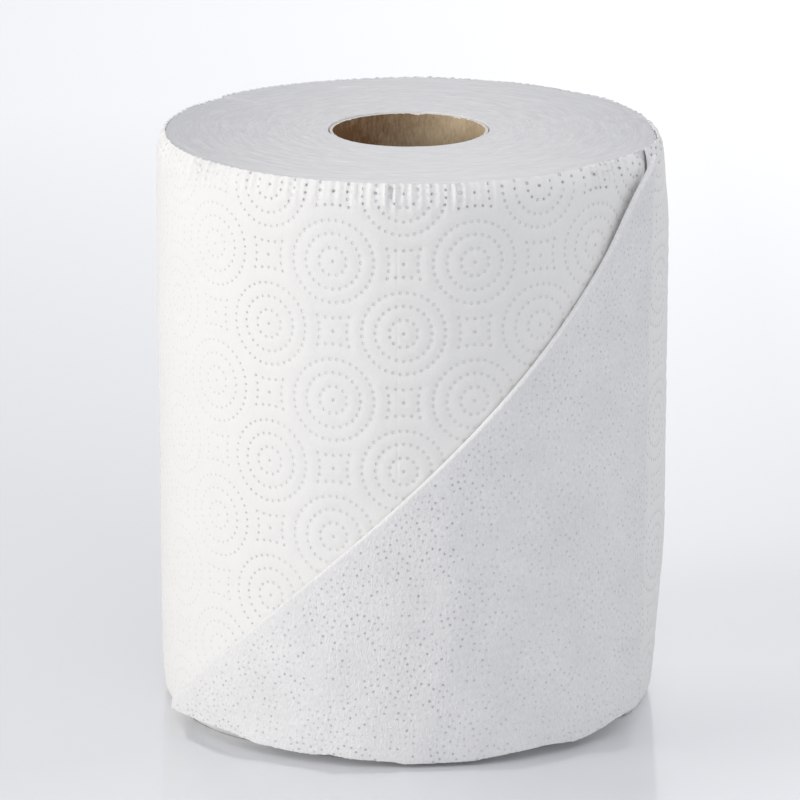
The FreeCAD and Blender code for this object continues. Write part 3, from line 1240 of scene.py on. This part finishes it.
def floor_material():
    """Pale glossy table; for the camera it pales further away from the roll, with painted light and painted
    shadow near it.
    """
    material, tree, shader = new_material("pale_floor")
    spot = add(tree.nodes, "ShaderNodeTexCoord").outputs["Object"]
    length = add(tree.nodes, "ShaderNodeVectorMath", operation="LENGTH")
    tree.links.new(spot, length.inputs[0])
    away = length.outputs["Value"]
    far = range_node(tree, away, 0.25, 1.1, 0.0, 1.0)
    share = plus(tree, far, times(tree, noise_node(tree, spot, 3.0), 0.02), clamp=True)
    tree.links.new(tint_node(tree, share, FLOOR_NEAR, FLOOR_FAR), shader.inputs["Base Color"])
    shader.inputs["Roughness"].default_value = 0.22
    shader.inputs["Specular IOR Level"].default_value = 0.5
    shader.inputs["Coat Weight"].default_value = 1.0
    shader.inputs["Coat Roughness"].default_value = 0.09
    glow = add(tree.nodes, "ShaderNodeEmission")
    glow.inputs["Color"].default_value = FLOOR_GLOW
    strength = times(tree, seen_directly(tree), floor_glow(tree, spot, away))
    tree.links.new(strength, glow.inputs["Strength"])
    mixed = add(tree.nodes, "ShaderNodeAddShader")
    tree.links.new(shader.outputs[0], mixed.inputs[0])
    tree.links.new(glow.outputs[0], mixed.inputs[1])
    tree.links.new(mixed.outputs[0], tree.nodes["Material Output"].inputs["Surface"])
    return material


def make_floor():
    """A wide round table top under the roll."""
    disc = bmesh.new()
    bmesh.ops.create_circle(disc, cap_ends=True, cap_tris=False, segments=96, radius=6.0)
    mesh = bpy.data.meshes.new("floor")
    disc.to_mesh(mesh)
    disc.free()
    floor = bpy.data.objects.new("floor", mesh)
    bpy.context.scene.collection.objects.link(floor)
    mesh.materials.append(floor_material())


def pale_world():
    """Soft light from all round, dimmer from the back left, with a pale surround to be seen."""
    world = bpy.data.worlds.new("pale_surround")
    bpy.context.scene.world = world
    world.use_nodes = True
    tree = world.node_tree
    light = tree.nodes["Background"]
    light.inputs["Color"].default_value = WORLD_LIGHT
    way = add(tree.nodes, "ShaderNodeTexCoord").outputs["Generated"]
    towards = add(tree.nodes, "ShaderNodeVectorMath", operation="DOT_PRODUCT")
    tree.links.new(way, towards.inputs[0])
    towards.inputs[1].default_value = DIM_WAY
    strength = range_node(tree, towards.outputs["Value"], 0.4, 0.95, 0.935, 0.13)
    tree.links.new(strength, light.inputs["Strength"])
    seen = add(tree.nodes, "ShaderNodeBackground")
    seen.inputs["Color"].default_value = WORLD_SEEN
    seen.inputs["Strength"].default_value = 0.97
    mixed = add(tree.nodes, "ShaderNodeMixShader")
    tree.links.new(seen_directly(tree), mixed.inputs[0])
    tree.links.new(light.outputs[0], mixed.inputs[1])
    tree.links.new(seen.outputs[0], mixed.inputs[2])
    tree.links.new(mixed.outputs[0], tree.nodes["World Output"].inputs["Surface"])


def soft_lamp(name, spot, size, power, colour):
    """A soft box aimed at the middle of the roll."""
    data = bpy.data.lights.new(name, "AREA")
    data.shape = "RECTANGLE"
    data.size, data.size_y = size
    data.energy = power
    data.color = colour
    lamp = bpy.data.objects.new(name, data)
    lamp.location = spot
    lamp.rotation_euler = (Vector(ROLL_MIDDLE) - Vector(spot)).to_track_quat("-Z", "Y").to_euler()
    bpy.context.scene.collection.objects.link(lamp)


make_floor()
pale_world()
soft_lamp("window_left", WINDOW_SPOT, WINDOW_SIZE, WINDOW_POWER, WINDOW_LIGHT)

camera_data = bpy.data.cameras.new("camera")
camera = bpy.data.objects.new("camera", camera_data)
camera.location = CAMERA_SPOT
camera.rotation_euler = (math.radians(90.0 - CAMERA_DIP), 0.0, 0.0)
camera_data.lens = CAMERA_LENS
camera_data.sensor_width = 36.0
camera_data.shift_x, camera_data.shift_y = CAMERA_SHIFT
camera_data.clip_start = 0.05
camera_data.clip_end = 60.0
bpy.context.scene.collection.objects.link(camera)
bpy.context.scene.camera = camera
bpy.context.scene.view_settings.view_transform = "Standard"


# Frame

for piece in towels + [loose_end, turns]:
    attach(piece, "root")
    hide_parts("paper_roll")
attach(core, "root")
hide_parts("cardboard_core")
